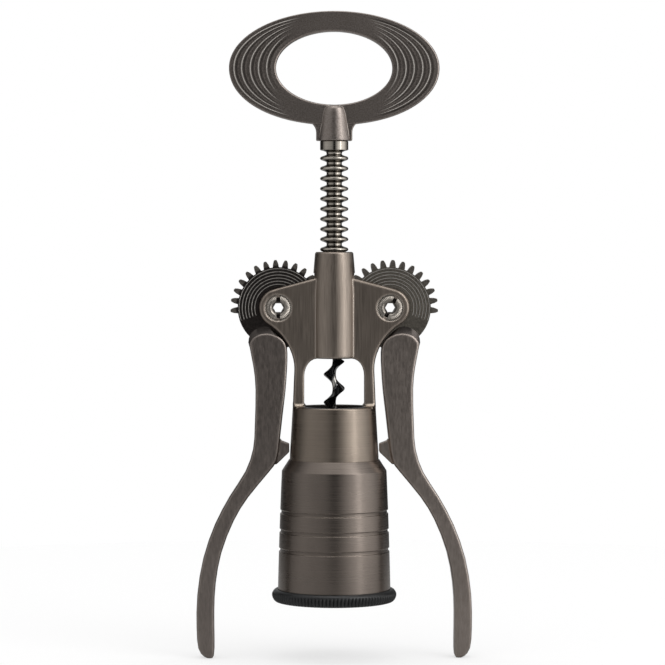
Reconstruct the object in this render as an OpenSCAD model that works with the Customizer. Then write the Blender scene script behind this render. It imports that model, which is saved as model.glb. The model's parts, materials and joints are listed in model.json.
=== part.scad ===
// Wing corkscrew: a cast frame with a bell at its foot, a rack that slides in the tube, and two
// toothed levers in mesh with it. The plane of the bell's mouth is z = 0 and +Z points up the worm.
// The front is -Y. Each size below can be changed by itself, and the rest is worked out from it.

/* [Bell] */
// Height of the bell above its mouth
bell_h = 55.4; // [53:0.2:60]
// Inside diameter of the bell, a clearance over a bottle's lip
bell_bore_d = 33; // [31.6:0.2:33.6]
// Outside diameter of the bell at its mouth
bell_mouth_d = 43.9; // [43:0.1:45]
// Outside diameter of the bell under its shoulder
bell_top_d = 40.8; // [40:0.1:42]
// Height of the sloping shoulder
shoulder_h = 4.3; // [3:0.1:5.5]
// How far the bell's side bulges past a straight cone
bell_bulge = 0.14; // [0:0.02:0.4]
// Number of turned grooves round the bell
groove_n = 3; // [1:1:3]
// Height of the top groove
groove_z = 35.2; // [33:0.2:38]
// Distance between the grooves
groove_pitch = 7.4; // [5:0.1:9]
// Width of a groove
groove_w = 1.6; // [0.8:0.1:2]
// Depth of a groove
groove_depth = 0.45; // [0.2:0.05:0.8]

/* [Rubber ring] */
// Outside diameter of the ring round the mouth
ring_d = 48.6; // [47:0.2:50]
// Height of the ring's bead
ring_h = 5; // [4.6:0.1:6]
// Height of the bell's edge inside the ring
ring_seat_z = 4.2; // [3.8:0.1:4.4]
// Length of the lip that the ring grips
ring_lip_h = 2.2; // [1.5:0.1:2.8]

/* [Neck and window] */
// Height of the neck above the bell
neck_h = 20.6; // [18:0.2:24]
// Outside diameter of the neck at its top
neck_top_d = 32.4; // [31.6:0.1:33]
// Outside diameter of the neck inside the bell
neck_foot_d = 34.6; // [34:0.1:35]
// Inside diameter that a drawn cork rises through
cork_bore_d = 23.6; // [22.6:0.1:24]
// Thickness of the neck's wall
neck_wall = 3.4; // [2.6:0.1:4]
// Height of the window between the neck and the tube
window_h = 18.8; // [17:0.2:24]
// Width of the window
window_w = 23.4; // [22.6:0.1:24]
// Height of the window's rounded top corners
window_corner_h = 6.8; // [5:0.2:8]
// Width of each arm beside the window
arm_w = 3.8; // [3.4:0.1:4]

/* [Tube and cheeks] */
// Length of the tube that guides the rack
tube_l = 41.4; // [38:0.2:42]
// Outside diameter of the tube
tube_d = 17.1; // [16.4:0.1:17.6]
// Outside diameter of the tube's end
tube_top_d = 14.9; // [14.4:0.1:15.6]
// Length of the taper at the tube's end
tube_taper_l = 16.6; // [12:0.2:18]
// Thickness of the plate that forms the cheeks and arms
plate_t = 8.8; // [8.4:0.1:9.6]
// Rounding of the plate's outer edge
plate_edge = 1.1; // [0.6:0.1:1.4]
// Height of the pivots above the foot of the tube
pivot_rise = 19.7; // [19.3:0.1:20.4]
// Radius of the cheek round a pivot
cheek_r = 7.45; // [7.1:0.05:7.6]
// Slope of the cheek's top edge, in degrees
cheek_slope = 14.9; // [13:0.1:17]

/* [Gears and rack] */
// Gear module, so that the rack's pitch is pi times this
gear_m = 1.25; // [1.2:0.01:1.28]
// Teeth that a full circle would hold
gear_n = 28; // [27:1:29]
// Thickness of the toothed end of a lever
gear_t = 4.6; // [4.2:0.1:4.8]
// Outside diameter of the rack
rack_d = 11; // [10.9:0.05:11.1]
// Distance that the rack travels
travel = 43; // [40:0.2:44]
// Rings cut along the rack
rack_rings = 18; // [17:1:18]
// Height of the plain collar at the top of the rack
collar_h = 3.6; // [2.4:0.1:4]
// Diameter of the spindle inside the rack
spindle_d = 3.4; // [3:0.1:3.6]

/* [Levers] */
// Thickness of a lever's arm
lever_t = 8.5; // [7.6:0.1:9]
// Rounding of the lever's edges
lever_edge = 0.9; // [0.5:0.1:1.2]
// Thickness of the stop lug
lug_t = 4.4; // [3.6:0.1:5]
// Gap between the stop lug and the neck
lug_gap = 0.35; // [0.3:0.05:0.6]
// Concentric grooves on the gear's face
ridge_n = 6; // [4:1:6]
// Distance between those grooves
ridge_pitch = 1.22; // [1.1:0.02:1.24]

/* [Pivots] */
// Diameter of the flange of a pivot nut or bolt
flange_d = 10.4; // [10:0.1:11]
// Thickness of that flange
flange_t = 0.9; // [0.7:0.05:1]
// Diameter of the barrel that a lever turns on
barrel_d = 8; // [7.6:0.1:8.4]
// Diameter of the bolt's thread
bolt_d = 6.4; // [6:0.1:6.6]
// Key size of the hexagon through the bolt
hex_af = 3.5; // [3.5:0.5:4]
// Width of the spanner notches in the nut
notch_w = 1.6; // [1.2:0.1:2]
// Wall of the bush in a lever
bush_wall = 1; // [0.8:0.05:1.2]

/* [Handle] */
// Width of the ring handle
handle_w = 81.6; // [76:0.2:88]
// Height of the ring, without its hub
handle_h = 44; // [41:0.2:48]
// Width of the finger hole
hole_w = 45.2; // [42:0.2:48]
// Height of the finger hole
hole_h = 28.4; // [26:0.2:30]
// Thickness of the ring
handle_t = 6; // [5.4:0.1:7]
// Rounding of the ring's edges
handle_edge = 1.6; // [1:0.1:2]
// Height of the hub under the ring
hub_h = 6.15; // [5:0.05:8]
// Diameter of the hub at its foot
hub_d = 13.2; // [12.4:0.1:14]
// Concentric grooves on each side of the ring
wave_n = 5; // [3:1:5]
// Distance between those grooves
wave_pitch = 3.2; // [3:0.05:3.4]
// Depth of those grooves
wave_depth = 0.5; // [0.3:0.05:0.7]

/* [Worm] */
// Outside diameter of the worm
worm_d = 8.2; // [7.6:0.1:8.6]
// Diameter of the worm's core
worm_core_d = 1.8; // [1.6:0.1:2.6]
// Rise of the worm in one turn
worm_pitch = 10.9; // [10:0.1:12]
// Height of the worm's tip above the lip's seat
worm_tip_gap = 1; // [0.6:0.1:3]

/* [Clearances] */
// Radial gap of a part that turns on a pin or shaft
running_gap = 0.05; // [0.03:0.01:0.08]
// Radial gap between the rack and the tube
slide_gap = 0.15; // [0.1:0.01:0.2]
// Gap on each side of a lever's toothed end
side_gap = 0.2; // [0.15:0.01:0.3]
// Radial gap of a seated part
seat_gap = 0.02; // [0.01:0.01:0.04]
// Backlash between the gear and the rack
backlash = 0.2; // [0.16:0.01:0.3]

/* [Hidden] */
$fn = 96;
far = 200;          // longer than any cut needs to be
sink = 0.6;         // how deep joined shapes run into each other

// Colours: satin bronze plating, its darker gear face, black nickel, bronze bush, rubber, polymer
bronze = "#6b635b";
dark_bronze = "#514b47";
black_nickel = "#4a4644";
bush_bronze = "#9c7a45";
rubber = "#1c1e1f";
polymer = "#2b2b2d";
gloss_black = "#101011";

// Heights along the axis
neck_top_z = bell_h + neck_h;
tube_z = neck_top_z + window_h;
tube_top_z = tube_z + tube_l;
pivot_z = tube_z + pivot_rise;
stop_gap = 0.1;
hub_z = tube_top_z + travel + stop_gap;
handle_z = hub_z + hub_h + handle_h / 2;

// Radii that more than one part uses
bell_bore_r = bell_bore_d / 2;
neck_top_r = neck_top_d / 2;
neck_foot_r = neck_foot_d / 2;
cork_r = cork_bore_d / 2;
tube_r = tube_d / 2;
rack_r = rack_d / 2;
spindle_r = spindle_d / 2;
barrel_r = barrel_d / 2;
flange_r = flange_d / 2;
bush_r = barrel_r + running_gap + bush_wall;

// The mesh: straight flanks on the rack, involute flanks on the gear
pressure = 20;
addendum = gear_m;
tip_cut = 0.12 * gear_m;                     // what the gear's tips lack of a full addendum
dedendum = gear_m;
rack_pitch = PI * gear_m;
rack_pitch_r = rack_r - addendum;
rack_root_r = rack_pitch_r - dedendum;
gear_pitch_r = gear_m * gear_n / 2;
gear_tip_r = gear_pitch_r + addendum - tip_cut;
gear_base_r = gear_pitch_r * cos(pressure);
gear_disc_r = gear_pitch_r - 1.4 * gear_m;
tooth_step = 360 / gear_n;
pivot_x = rack_pitch_r + gear_pitch_r;
first_ring_z = hub_z - 6.8;
// The ring nearest above the pivot, and the groove under it that the first tooth fills
mesh_ring = floor((first_ring_z - pivot_z) / rack_pitch);
mesh_z = first_ring_z - (mesh_ring + 0.5) * rack_pitch;
tooth_phase = (mesh_z - pivot_z) / gear_pitch_r * 180 / PI;

// The plate's slot for the toothed end, and the seats of the pivots
slot_w = gear_t + 2 * side_gap;
slot_r = gear_tip_r + 0.7;
plate_y = plate_t / 2;

function arc(c, r, a0, a1, n) =
    [for (i = [0:n]) let (a = a0 + (a1 - a0) * i / n) [c[0] + r * cos(a), c[1] + r * sin(a)]];

function bezier(p0, p1, p2, p3, n) =
    [for (i = [0:n]) let (t = i / n, u = 1 - t)
        u * u * u * p0 + 3 * u * u * t * p1 + 3 * u * t * t * p2 + t * t * t * p3];

// A smooth closed curve through its knots, each stretch cut in n
function smooth_loop(knots, n) =
    let (m = len(knots))
    [for (i = [0:m - 1], k = [0:n - 1])
        let (a = knots[(i + m - 1) % m], b = knots[i], c = knots[(i + 1) % m], d = knots[(i + 2) % m])
        let (t = k / n)
        0.5 * (2 * b + (c - a) * t + (2 * a - 5 * b + 4 * c - d) * t * t
            + (3 * b - a - 3 * c + d) * t * t * t)];

function mirrored(points) = [for (i = [len(points) - 1:-1:0]) [-points[i][0], points[i][1]]];

// An anticlockwise outline moved inwards by d along its normals
function inset(points, d) =
    let (m = len(points))
    [for (i = [0:m - 1])
        let (v = points[(i + 1) % m] - points[(i + m - 1) % m])
        points[i] + d / norm(v) * [-v[1], v[0]]];

// A solid through equal rings of points, each ring anticlockwise seen from the last one. An end is
// closed by rungs between its first and last points, then the next two, and so on.
module loft(rings) {
    n = len(rings[0]);
    last = (len(rings) - 1) * n;
    points = [for (ring = rings, p = ring) p];
    sides = [for (i = [0:len(rings) - 2], j = [0:n - 1], half = [0, 1])
        let (a = i * n + j, b = i * n + (j + 1) % n)
        half == 0 ? [a, a + n, b + n] : [a, b + n, b]];
    rungs = ceil(n / 2) - 2;
    foot = concat(
        [for (j = [0:rungs]) [j, j + 1, n - 1 - j]],
        [for (j = [0:rungs]) if (j + 1 < n - 2 - j) [j + 1, n - 2 - j, n - 1 - j]]
    );
    top = [for (f = foot) [last + f[2], last + f[1], last + f[0]]];
    polyhedron(points, concat(foot, sides, top), convexity = 8);
}

edge_steps = 3;

// A plate in the XZ plane, centred on y = 0, with its edges rounded by r
module rounded_plate(outline, t, r) {
    rotate([90, 0, 0])
        loft([for (side = [-1, 1], k = [0:edge_steps])
            let (a = 90 * (side < 0 ? edge_steps - k : k) / edge_steps)
            let (h = side * (t / 2 - r + r * sin(a)))
            [for (p = inset(outline, r * (1 - cos(a)))) [p[0], p[1], h]]]);
}

// The cut for a hole in such a plate, with the plate's edge rounded by r round it
module rounded_hole(outline, t, r) {
    past = 1;
    clear = 0.02;
    rotate([90, 0, 0])
        loft([for (side = [-1, 1], k = [0:edge_steps + 1])
            let (q = side < 0 ? edge_steps + 1 - k : k)
            let (a = 90 * min(q, edge_steps) / edge_steps)
            let (h = side * (t / 2 + clear - r + r * sin(a) + (q > edge_steps ? past : 0)))
            [for (p = inset(outline, -r * (1 - cos(a)))) [p[0], p[1], h]]]);
}

module turned(profile) rotate_extrude() polygon(profile);

module along_y(y0, y1) translate([0, y1, 0]) rotate([90, 0, 0]) linear_extrude(y1 - y0) children();

module rod_y(r, y0, y1) translate([0, y1, 0]) rotate([90, 0, 0]) cylinder(r = r, h = y1 - y0);

module at_pivot(side) translate([side * pivot_x, 0, pivot_z]) children();

// ---- frame ----------------------------------------------------------------------------------

arm_x = window_w / 2 + arm_w;
arm_waist_z = tube_z - 4.3;
cheek_foot_a = -58;
foot_fillet = 2.4;

function cheek_side() =
    let (c = [pivot_x, pivot_z])
    let (start = c + cheek_r * [cos(cheek_foot_a), sin(cheek_foot_a)])
    let (lead = start + 0.93 * cheek_r * [sin(cheek_foot_a), -cos(cheek_foot_a)])
    concat(
        [[neck_top_r - 0.4, neck_top_z - 4], [neck_top_r - 0.1, neck_top_z]],
        bezier([arm_x, arm_waist_z], [arm_x - 0.1, arm_waist_z + 7], lead, start, 10),
        arc(c, cheek_r, cheek_foot_a + 10, 90 - cheek_slope, 10)
    );

function plate_outline() =
    let (side = cheek_side())
    let (top = side[len(side) - 1])
    concat(side, [[0, top[1] + top[0] * tan(cheek_slope)]], mirrored(side));

function window_outline() =
    let (x = window_w / 2, corner_w = 5.1, z = tube_z - window_corner_h)
    let (side = concat([[x, neck_top_z - 3], [x, z - 3]],
        [for (i = [0:6]) let (a = 15 * i) [x - corner_w + corner_w * cos(a), z + window_corner_h * sin(a)]]))
    concat(side, mirrored(side));

module frame_plate() {
    window_edge = 0.5 * plate_edge;
    difference() {
        rounded_plate(plate_outline(), plate_t, plate_edge);
        rounded_hole(window_outline(), plate_t, window_edge);
    }
}

module tube_shell() {
    edge = 0.5;
    steps = 6;
    taper_z = tube_top_z - edge - tube_taper_l;
    turned(concat(
        [[0, tube_z], [tube_r - edge, tube_z], [tube_r, tube_z + edge]],
        [for (i = [0:steps]) let (t = i / steps)
            [tube_r - (tube_r - tube_top_d / 2) * pow(t, 1.4), taper_z + tube_taper_l * t]],
        [[tube_top_d / 2 - edge, tube_top_z], [0, tube_top_z]]
    ));
}

neck_foot_z = bell_h - 9.4;

module neck_shell() {
    edge = 0.8;
    straight_z = bell_h + 1.2;
    turned(concat(
        [[0, neck_foot_z], [neck_foot_r, neck_foot_z], [neck_foot_r, straight_z]],
        arc([neck_top_r - edge, neck_top_z - edge], edge, 0, 90, 4),
        [[0, neck_top_z]]
    ));
}

// The hollow neck: the cork's bore through the rim, and a wider space under it
module neck_hollow() {
    rim_t = 5;
    wide_r = neck_foot_r - neck_wall;
    edge = 0.4;
    turned([
        [0, neck_foot_z - sink], [wide_r, neck_foot_z - sink],
        [wide_r, neck_top_z - rim_t - (wide_r - cork_r)], [cork_r, neck_top_z - rim_t],
        [cork_r, neck_top_z - edge], [cork_r + edge + sink, neck_top_z + sink], [0, neck_top_z + sink]
    ]);
}

// An upright rectangle's outline with round corners, grown by e
function rounded_rect(x0, x1, y1, r, e) =
    let (x = x1 - r, u = x0 + r, y = y1 - r)
    concat(arc([x, -y], r + e, -90, 0, 3), arc([x, y], r + e, 0, 90, 3),
        arc([u, y], r + e, 90, 180, 3), arc([u, -y], r + e, 180, 270, 3));

// The hollow fillets round the arms where they stand on the rim of the neck
module foot_fillets() {
    corner = 1;
    steps = 5;
    hold = 0.2;
    x0 = window_w / 2 + hold;
    x1 = neck_top_r - 0.1 - hold;
    depth = 1.2;
    intersection() {
        translate([0, 0, neck_top_z - far / 2]) cylinder(r = neck_top_r - 0.05, h = far);
        for (side = [0, 1]) mirror([side, 0, 0]) loft([for (k = [-1:steps])
            let (a = 90 * max(k, 0) / steps, e = foot_fillet * (1 - sin(a)))
            let (z = neck_top_z + (k < 0 ? -depth : foot_fillet * (1 - cos(a))))
            [for (p = rounded_rect(x0, x1, plate_y - hold, corner, e)) [p[0], p[1], z]]]);
    }
}

module frame() color(bronze) difference() {
    union() {
        frame_plate();
        tube_shell();
        neck_shell();
        foot_fillets();
    }
    neck_hollow();
    translate([0, 0, tube_z - sink]) cylinder(r = rack_r + slide_gap, h = far);
    translate([0, 0, bush_seat_z]) cylinder(r = guide_bush_r, h = far);
    for (side = [-1, 1]) at_pivot(side) {
        rod_y(slot_r, -slot_w / 2, slot_w / 2);
        rod_y(barrel_r + seat_gap, -plate_t, plate_t);
        for (y = [-1, 1]) rod_y(flange_r + seat_gap, y > 0 ? plate_y - flange_t - seat_gap : -plate_t,
            y > 0 ? plate_t : -plate_y + flange_t + seat_gap);
    }
}

// The liner at the tube's mouth that the rack's rings run in
guide_bush_l = 6.8;
guide_bush_r = tube_top_d / 2 - 1.15;
bush_seat_z = tube_top_z - guide_bush_l;

module guide_bush() color(polymer) translate([0, 0, bush_seat_z + seat_gap]) difference() {
    cylinder(r = guide_bush_r - seat_gap, h = guide_bush_l - 0.3);
    translate([0, 0, -sink]) cylinder(r = rack_r + slide_gap - 0.05, h = far);
}

// ---- bell, its seat ring and its rubber ring ------------------------------------------------

lip_seat_z = bell_h - 14.9;
lip_h = neck_foot_z - lip_seat_z;
ring_lip_r = bell_bore_r + 1.6;

function bell_r(z) =
    let (z1 = bell_h - shoulder_h, t = (z - ring_seat_z) / (z1 - ring_seat_z))
    bell_mouth_d / 2 + (bell_top_d - bell_mouth_d) / 2 * t + bell_bulge * 4 * t * (1 - t);

module bell() {
    steps = 8;
    z1 = bell_h - shoulder_h;
    rim_r = neck_foot_r + 0.3;
    color(bronze) difference() {
        turned(concat(
            [[0, ring_seat_z - ring_lip_h], [ring_lip_r + 1.6, ring_seat_z - ring_lip_h],
             [ring_lip_r + 1.6, ring_seat_z]],
            [for (i = [0:steps]) let (z = ring_seat_z + (z1 - ring_seat_z) * i / steps) [bell_r(z), z]],
            [[rim_r, bell_h], [0, bell_h]]
        ));
        translate([0, 0, -sink]) cylinder(r = bell_bore_r, h = far);
        translate([0, 0, lip_seat_z]) cylinder(r = neck_foot_r + seat_gap, h = far);
        for (i = [0:groove_n - 1]) let (z = groove_z - i * groove_pitch)
            turned([
                [bell_r(z) - groove_depth, z - groove_w / 2 + 0.2], [bell_r(z) - groove_depth, z + groove_w / 2 - 0.2],
                [bell_r(z) + sink, z + groove_w / 2 + 0.1], [bell_r(z) + sink, z - groove_w / 2 - 0.1]
            ]);
    }
}

// The seat that a bottle's lip meets, held between the bell's step and the neck's foot
module lip_ring() color(polymer) difference() {
    translate([0, 0, lip_seat_z]) cylinder(r = neck_foot_r - seat_gap, h = lip_h);
    translate([0, 0, lip_seat_z - seat_gap])
        cylinder(r1 = bell_bore_r - 0.4, r2 = cork_r, h = lip_h - 1.5);
    translate([0, 0, lip_seat_z]) cylinder(r = cork_r, h = far);
}

module bell_ring() {
    bead_r = 2.1;
    bead_z = ring_h - bead_r;
    inner_r = bell_bore_r;
    color(rubber) difference() {
        turned(concat(
            [[0, 0], [ring_d / 2 - 1.9, 0], [ring_d / 2 - 1.3, 0.2], [ring_d / 2 - 0.75, 0.7]],
            arc([ring_d / 2 - bead_r, bead_z], bead_r, -35, 90, 9),
            [[0, ring_h]]
        ));
        translate([0, 0, -sink]) cylinder(r = inner_r, h = far);
        translate([0, 0, ring_seat_z]) cylinder(r = bell_r(ring_seat_z) + seat_gap, h = far);
        translate([0, 0, ring_seat_z - ring_lip_h - seat_gap]) cylinder(r = ring_lip_r + 1.6 + seat_gap, h = far);
    }
}

// ---- rack, bushes, spindle and worm ---------------------------------------------------------

sleeve_bore_r = spindle_r + 0.15;
bush_od_r = spindle_r + 0.9;
flange_gap = 0.1;
sleeve_foot_z = first_ring_z - rack_rings * rack_pitch + 1.6;
sleeve_top_z = hub_z - flange_gap;
collar_z = sleeve_top_z - collar_h;

// One side of the rack: rings with straight flanks, round noses, and fillets at a narrow core
function rack_profile() =
    let (half = rack_pitch / 4 - backlash / 4, lean = tan(pressure), nose = 0.5, fillet = 0.3)
    let (wide = half + dedendum * lean)
    [for (i = [rack_rings - 1:-1:0]) let (z = first_ring_z - i * rack_pitch)
        each concat(
            [[rack_root_r, z - wide - 0.6 * fillet], [rack_root_r + 0.12 * fillet, z - wide - 0.2 * fillet],
             [rack_root_r + fillet, z - wide + fillet * lean]],
            arc([rack_r - nose, z], nose, -70, 70, 4),
            [[rack_root_r + fillet, z + wide - fillet * lean],
             [rack_root_r + 0.12 * fillet, z + wide + 0.2 * fillet], [rack_root_r, z + wide + 0.6 * fillet]]
        )];

module rack_sleeve() {
    edge = 0.25;
    end_r = rack_r - 1;
    color(black_nickel) difference() {
        turned(concat(
            [[0, sleeve_foot_z], [end_r, sleeve_foot_z], [end_r, sleeve_foot_z + 1.2]],
            rack_profile(),
            [[rack_root_r, collar_z - edge], [rack_r - edge, collar_z], [rack_r, collar_z + edge],
             [rack_r, sleeve_top_z - edge], [rack_r - edge, sleeve_top_z], [0, sleeve_top_z]]
        ));
        translate([0, 0, sleeve_foot_z - sink]) cylinder(r = sleeve_bore_r, h = far);
        translate([0, 0, top_bush_z - bush_l]) cylinder(r = bush_od_r, h = far);
        translate([0, 0, top_bush_z]) cylinder(r = top_flange_r + seat_gap, h = far);
        translate([0, 0, sleeve_foot_z - sink]) cylinder(r = bush_od_r, h = low_bush_l + sink);
    }
}

bush_l = collar_h - 0.5;
low_bush_l = 1.5;
bush_flange_t = 0.45;
top_bush_z = sleeve_top_z - bush_flange_t;
top_flange_r = rack_r - 1.4;

// A flanged bush with its flange up or, with flip, down
module flanged_bush(l, flange_out_r) color(bush_bronze) difference() {
    union() {
        translate([0, 0, -l + seat_gap]) cylinder(r = bush_od_r - seat_gap, h = l);
        cylinder(r = flange_out_r, h = bush_flange_t);
    }
    translate([0, 0, -far / 2]) cylinder(r = spindle_r + running_gap, h = far);
}

module upper_bush() translate([0, 0, top_bush_z]) flanged_bush(bush_l, top_flange_r);

module lower_bush() translate([0, 0, sleeve_foot_z]) mirror([0, 0, 1]) flanged_bush(low_bush_l, rack_r - 1.3);

ferrule_r = 4.1;
ferrule_z = tube_z + 0.8;
ferrule_top_z = sleeve_foot_z - bush_flange_t - flange_gap;
spindle_foot_z = ferrule_z + 2.6;
spindle_head_r = 2.6;
spindle_head_l = 9.5;
pin_r = 0.75;
pin_z = (ferrule_top_z + spindle_foot_z) / 2;

module spindle() color(black_nickel) difference() {
    union() {
        translate([0, 0, spindle_foot_z]) cylinder(r = spindle_r, h = hub_z - spindle_foot_z + sink);
        translate([0, 0, hub_z]) cylinder(r = spindle_head_r, h = spindle_head_l);
    }
    translate([0, 0, pin_z]) rod_y(pin_r + seat_gap, -far / 2, far / 2);
}

module worm_ferrule() color(gloss_black) difference() {
    edge = 0.5;
    turned([
        [0, ferrule_z], [ferrule_r - edge, ferrule_z], [ferrule_r, ferrule_z + edge],
        [ferrule_r, ferrule_top_z - edge], [ferrule_r - edge, ferrule_top_z], [0, ferrule_top_z]
    ]);
    translate([0, 0, spindle_foot_z]) cylinder(r = spindle_r + seat_gap, h = far);
    translate([0, 0, ferrule_z - sink]) cylinder(r = shank_r + seat_gap, h = far);
    translate([0, 0, pin_z]) rod_y(pin_r + seat_gap, -far / 2, far / 2);
}

module worm_pin() color(black_nickel) translate([0, 0, pin_z]) rod_y(pin_r, -ferrule_r + 0.1, ferrule_r - 0.1);

// The worm: a core with one pointed fin, its flanks hollow, wound right-handed and tapered at its tip
worm_tip_z = lip_seat_z + worm_tip_gap;
worm_top_z = ferrule_z - 0.02;
worm_peak_z = tube_z - 0.8;        // where the fin points to +X
shank_r = worm_core_d / 2 - 0.2;
fin_angles = [-150, -115, -85, -62, -42, -25, -12, 0, 12, 25, 42, 62, 85, 115, 150, 180];

function fin_r(a) =
    let (f = max(0, 1 - abs(a) / 125))
    worm_core_d / 2 + (worm_d - worm_core_d) / 2 * pow(f, 1.6);

function worm_ring(z) =
    let (taper_l = 9, end = 0.12, t = min(1, (z - worm_tip_z) / taper_l), out = min(1, (worm_top_z - z) / 3 + 0.35))
    let (turn = 360 * (z - worm_peak_z) / worm_pitch, k = end + (1 - end) * pow(t, 0.8))
    [for (a = fin_angles) let (r = min(fin_r(a), worm_core_d / 2 + (fin_r(a) - worm_core_d / 2) * out) * k)
        [r * cos(a + turn), r * sin(a + turn), z]];

module worm() {
    per_turn = 14;
    n = ceil((worm_top_z - worm_tip_z) / worm_pitch * per_turn);
    color(gloss_black) union() {
        loft([for (i = [0:n]) worm_ring(worm_tip_z + (worm_top_z - worm_tip_z) * i / n)]);
        translate([0, 0, worm_top_z - sink])
            cylinder(r = shank_r, h = spindle_foot_z - worm_top_z + sink - 0.05);
    }
}

// ---- handle ---------------------------------------------------------------------------------

function oval(w, h, full, n) =
    [for (i = [0:n - 1]) let (a = 360 * i / n, e = sin(a) < 0 ? full : 1)
        [w / 2 * sign(cos(a)) * pow(abs(cos(a)), e), handle_z + h / 2 * sign(sin(a)) * pow(abs(sin(a)), e)]];

hub_flange_x = hub_d / 2 + 0.4;

// The web that blends the ring into its hub, with a concave fillet on each side
module hub_web() {
    fillet = 4.5;
    z1 = hub_z + hub_h * 0.52;
    web_t = handle_t - 0.8;
    along_y(-web_t / 2, web_t / 2) difference() {
        translate([-hub_flange_x - fillet, hub_z]) square([2 * (hub_flange_x + fillet), hub_h + 3]);
        for (side = [-1, 1]) {
            translate([side * (hub_flange_x + fillet), z1]) circle(r = fillet);
            translate([side > 0 ? hub_flange_x : -far, hub_z - sink]) square([far - hub_flange_x, z1 - hub_z + sink]);
        }
    }
}

module hub_boss() {
    boss_h = 13.9;
    foot_edge = 0.5;
    crown = 2;
    crown_r = hub_d / 2 - 1.7;
    turned(concat(
        [[0, hub_z], [hub_d / 2 - foot_edge, hub_z], [hub_d / 2, hub_z + foot_edge]],
        arc([crown_r - crown, hub_z + boss_h - crown], crown, 5, 90, 6),
        [[0, hub_z + boss_h]]
    ));
}

// One groove of the ring's face: a shallow hollow along an oval, narrower towards the hole. It
// fades out at both ends, which stand at end_x above and below.
module wave_cut(i) {
    x = handle_w / 2 - 2.5 - i * wave_pitch;
    z = handle_h / 2 - 2.1 - i * 0.69;
    a0 = -acos((20 + 0.2 * i) / x);
    a1 = acos((12.5 + 1.9 * i) / x);
    n = 14;
    half_w = 0.93 - 0.11 * i;
    y0 = handle_t / 2;
    loft([for (k = [0:n])
        let (a = a0 + (a1 - a0) * k / n, fade = 1 - pow(abs(2 * k / n - 1), 5))
        let (p = [x * cos(a), z * sin(a)], d = [z * cos(a), x * sin(a)] / norm([z * cos(a), x * sin(a)]))
        let (q = p + d * half_w, s = p - d * half_w, floor_y = y0 - wave_depth * fade, lip = y0 + 0.05)
        [[s[0], lip, handle_z + s[1]],
         [p[0] - 0.1 * d[0], floor_y, handle_z + p[1] - 0.1 * d[1]],
         [p[0] + (half_w - 0.15) * d[0], floor_y, handle_z + p[1] + (half_w - 0.15) * d[1]],
         [q[0], lip, handle_z + q[1]]]]);
}

module handle() color(bronze) difference() {
    union() {
        difference() {
            rounded_plate(oval(handle_w, handle_h, 0.96, 84), handle_t, handle_edge);
            rounded_hole(oval(hole_w, hole_h, 1, 56), handle_t, handle_edge);
        }
        difference() {
            union() {
                hub_web();
                hub_boss();
            }
            rounded_hole(oval(hole_w, hole_h, 1, 56), hub_d + 4, handle_edge);
        }
    }
    translate([0, 0, hub_z - sink]) cylinder(r = spindle_head_r + seat_gap, h = spindle_head_l + sink + 0.1);
    for (i = [0:wave_n - 1], x = [0, 1], y = [0, 1]) mirror([x, 0, 0]) mirror([0, y, 0]) wave_cut(i);
}

// ---- levers ---------------------------------------------------------------------------------

// The arm of the right lever: from the crest down its inner edge to the tip, and up its outer edge
function lever_outline() = smooth_loop([
    [26.4, 104.7], [21.7, 103.5], [19.0, 100.9], [18.2, 97], [18.4, 90], [19.0, 82],
    [20.0, 73.5], [21.2, 63], [22.4, 55.2], [25.5, 50.6], [33.4, 41], [39.1, 31.7],
    [43.9, 19.3], [46.2, 7], [46.8, -4], [46.7, -15], [46.9, -20.8],
    [48.3, -21.8], [50.6, -21.2], [52.9, -18], [53.6, -10], [53.3, 3], [51.0, 17], [46.5, 30],
    [40.7, 41], [34.6, 50.6], [31.6, 59.5], [30.9, 69], [30.6, 83], [31.4, 91.5],
    [32.9, 99.4], [32.5, 101.7], [30.4, 103.7]
], 2);

// The foot of the slope between the arm's crest and the face of the gear
function slope_outline() = smooth_loop([
    [33, 99.5], [32.7, 104], [29.5, 106.7], [26.1, 107.2], [23.4, 105.7], [21.2, 103.7],
    [19.2, 101.2], [18.4, 98], [22, 96], [28, 96]
], 3);

function crest_outline() = smooth_loop([
    [32.4, 99.5], [32.1, 101.4], [30.2, 103.3], [26.4, 104.3], [22, 103.1], [19.5, 100.7],
    [18.7, 97.5], [22, 96], [28, 96]
], 3);

function involute_a(r) =
    let (t = acos(min(1, gear_base_r / r)))
    90 / gear_n - backlash / 4 / gear_pitch_r * 180 / PI
        + (tan(pressure) - pressure * PI / 180 - tan(t) + t * PI / 180) * 180 / PI;

function polar(r, a) = [r * cos(a), r * sin(a)];

module tooth() {
    steps = 4;
    tip = gear_tip_r - 0.3;
    flank = [for (i = [0:steps]) let (r = gear_base_r + (tip - gear_base_r) * i / steps) [r, involute_a(r)]];
    root = gear_disc_r - sink;
    half = concat([[root, involute_a(gear_base_r) + 0.6], [gear_disc_r, involute_a(gear_base_r) + 0.6]], flank,
        [[gear_tip_r - 0.08, involute_a(tip) * 0.72], [gear_tip_r, involute_a(tip) * 0.36]]);
    polygon(concat([for (p = half) polar(p[0], -p[1])],
        [for (i = [len(half) - 1:-1:0]) polar(half[i][0], half[i][1])]));
}

// Teeth from just below the mesh, over the top, to the outer side
first_tooth = -1;
last_tooth = 14;

module gear_end() {
    at_pivot(1) {
        rod_y(gear_disc_r, -gear_t / 2, gear_t / 2);
        along_y(-gear_t / 2, gear_t / 2) for (k = [first_tooth:last_tooth])
            rotate(180 - tooth_phase - k * tooth_step) tooth();
    }
}

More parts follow.
